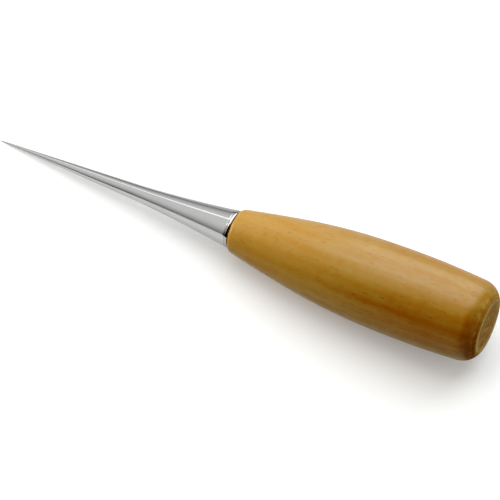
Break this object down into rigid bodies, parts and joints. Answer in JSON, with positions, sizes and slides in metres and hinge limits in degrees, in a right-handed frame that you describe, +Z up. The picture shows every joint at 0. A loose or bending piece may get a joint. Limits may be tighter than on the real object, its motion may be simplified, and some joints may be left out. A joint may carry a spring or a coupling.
{
  "type": "scratch awl",
  "caption": "Scratch awl: a slim round steel spike that flares to a shoulder, a small polished collar ring and a barrel-shaped lacquered hardwood handle, for marking and piercing leather.",
  "frame": {"origin": "on the bench that the tool lies on, under the middle of the tool's bounding box", "axes": "+Z up from the bench; +X along the tool in plan, from the tip at -X to the butt at +X; +Y across the tool"},
  "size_m": [0.165, 0.0262, 0.0288],
  "materials": {
    "lacquered_wood": "clear gloss lacquer over straight, fine-grained light hardwood, golden tan",
    "polished_steel": "polished, with fine turning lines round it",
    "polished_ring": "bright polished",
    "cured_resin": "cured amber epoxy, hidden in the bore"
  },
  "bodies": {
    "root": {"handle": "lacquered_wood", "spike": "polished_steel", "collar_ring": "polished_ring", "tang_adhesive": "cured_resin"}
  },
  "joints": []
}
